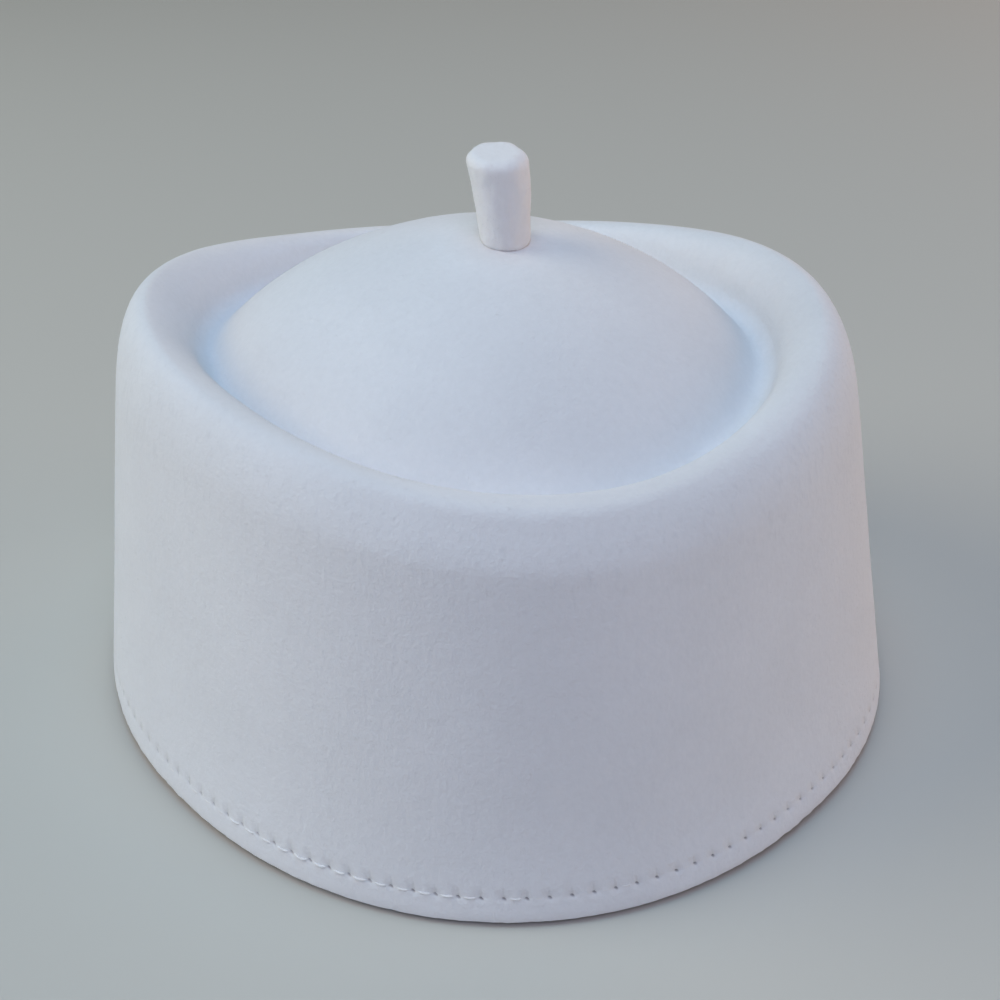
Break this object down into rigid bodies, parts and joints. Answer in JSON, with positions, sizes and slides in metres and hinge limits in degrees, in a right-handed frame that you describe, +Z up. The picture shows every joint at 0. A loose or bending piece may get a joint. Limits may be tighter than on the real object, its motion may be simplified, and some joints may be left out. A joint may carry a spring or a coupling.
{
  "type": "prayer cap",
  "caption": "White felt prayer cap with a tapered wall, a soft rolled rim, a ring groove, a domed crown and a short felt stalk on top.",
  "frame": {"origin": "middle of the hem's oval, on the surface that the cap rests on", "axes": "+Z up through the crown, +Y along the longer way of the oval hem"},
  "size_m": [0.1874, 0.2, 0.1328],
  "materials": {
    "white_felt": "matte pressed wool felt with a fine nap",
    "stalk_felt": "matte firm rolled wool felt"
  },
  "bodies": {
    "root": {"felt_body": "white_felt", "stem": "stalk_felt"}
  },
  "joints": []
}
